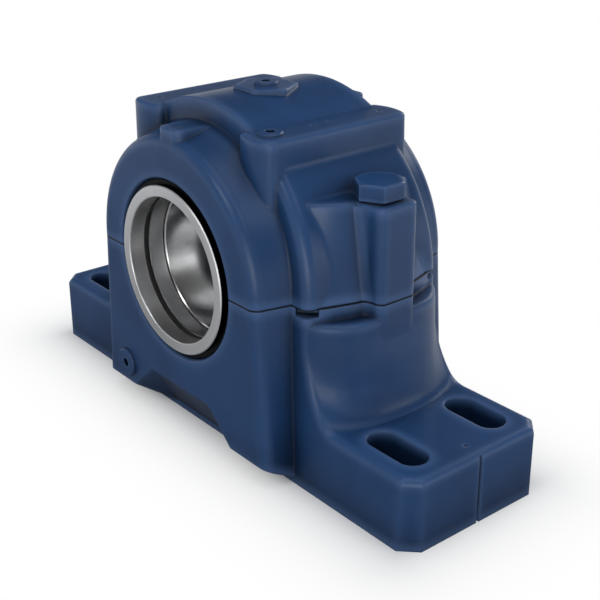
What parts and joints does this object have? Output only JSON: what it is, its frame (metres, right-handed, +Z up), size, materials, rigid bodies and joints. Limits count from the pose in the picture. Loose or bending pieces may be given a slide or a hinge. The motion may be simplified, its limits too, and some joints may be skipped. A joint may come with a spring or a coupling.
{
  "type": "split plummer block",
  "caption": "Two-part cast pillow housing on a slotted foot, holding a self-aligning roller bearing on an adapter sleeve between labyrinth ring seals.",
  "frame": {"origin": "middle of the underside of the foot, below the shaft line", "axes": "+X along the foot, +Y along the shaft toward the rear, +Z up"},
  "size_m": [0.315, 0.1269, 0.1824],
  "materials": {
    "base_paint": "satin blue paint over casting",
    "cap_paint": "satin blue paint over casting",
    "bolt_paint": "satin blue paint",
    "washer_steel": "darkened steel",
    "plug_paint": "satin blue paint",
    "dowel_steel": "ground",
    "locating_iron": "turned",
    "bearing_steel": "ground",
    "roller_steel": "polished",
    "cage_steel": "pressed",
    "guide_iron": "sintered",
    "sleeve_steel": "ground",
    "nut_steel": "blackened",
    "lock_washer_steel": "pressed",
    "seal_ring_metal": "turned",
    "cord_rubber": "matt"
  },
  "bodies": {
    "housing": {"housing_base": "base_paint", "housing_cap": "cap_paint", "cap_bolt_left": "bolt_paint", "cap_bolt_right": "bolt_paint", "cap_washer_left": "washer_steel", "cap_washer_right": "washer_steel", "dowel_rear": "dowel_steel", "dowel_front": "dowel_steel", "grease_plug_top": "plug_paint", "grease_plug_ridge": "plug_paint", "drain_plug": "plug_paint", "locating_ring_front": "locating_iron", "locating_ring_rear": "locating_iron", "bearing_outer_ring": "bearing_steel"},
    "sleeve_set": {"bearing_inner_ring": "bearing_steel", "adapter_sleeve": "sleeve_steel", "lock_washer": "lock_washer_steel", "lock_nut": "nut_steel", "seal_ring_front": "seal_ring_metal", "seal_ring_rear": "seal_ring_metal", "seal_cord_front": "cord_rubber", "seal_cord_rear": "cord_rubber"},
    "roller_set": {"roller_row_front": "roller_steel", "roller_row_rear": "roller_steel", "cage_front": "cage_steel", "cage_rear": "cage_steel", "guide_ring": "guide_iron"}
  },
  "joints": [
    {"name": "shaft_spin", "type": "hinge", "parent": "housing", "child": "sleeve_set", "pos_m": [0, 0, 0.095], "axis": [0, 1, 0], "continuous": true},
    {"name": "cage_spin", "type": "hinge", "parent": "housing", "child": "roller_set", "pos_m": [0, 0, 0.095], "axis": [0, 1, 0], "continuous": true}
  ],
  "couplings": [
    {"joint": "cage_spin", "follows": "shaft_spin", "ratio": 0.4267}
  ]
}
